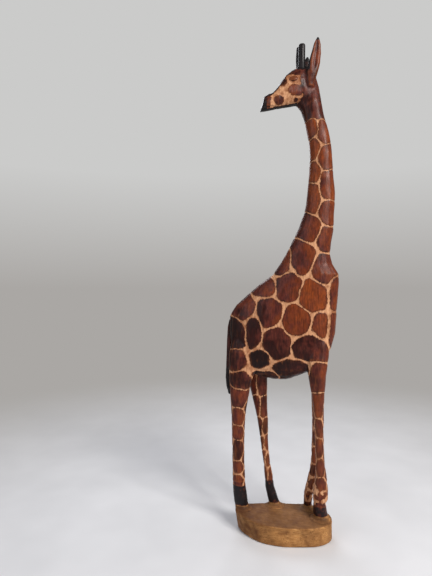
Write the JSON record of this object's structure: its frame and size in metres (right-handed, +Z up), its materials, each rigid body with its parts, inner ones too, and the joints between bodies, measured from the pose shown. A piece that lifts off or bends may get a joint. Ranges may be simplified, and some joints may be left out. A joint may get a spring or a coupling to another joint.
{
  "type": "carved wooden giraffe statue",
  "caption": "Tall slim wooden giraffe in a walking stance on an oval base, its head turned back, with upright ears and short horns, stained and burnt in a patch pattern.",
  "frame": {"origin": "centre of the base's flat underside, on the surface that the statue stands on", "axes": "+Z up, +X the way the giraffe's body faces, +Y its left side; the head is turned back towards -X and a little towards -Y"},
  "size_m": [0.1213, 0.0573, 0.5195],
  "materials": {
    "stained_wood": "dark brown stain in patches with pale lines between them, under a semi-gloss varnish",
    "burnt_wood": "scorched almost black, satin",
    "base_wood": "bare golden-brown wood with fine pores, thinly varnished"
  },
  "bodies": {
    "root": {"base": "base_wood", "hoof_hind_right": "burnt_wood", "hoof_hind_left": "burnt_wood", "hoof_front_right": "burnt_wood", "hoof_front_left": "burnt_wood", "leg_hind_right": "stained_wood", "leg_hind_left": "stained_wood", "leg_front_right": "stained_wood", "leg_front_left": "stained_wood", "trunk": "stained_wood", "tail": "burnt_wood", "neck": "stained_wood", "head": "stained_wood", "muzzle": "burnt_wood", "ear_left": "stained_wood", "ear_right": "stained_wood", "horn_left": "burnt_wood", "horn_right": "burnt_wood"}
  },
  "joints": []
}
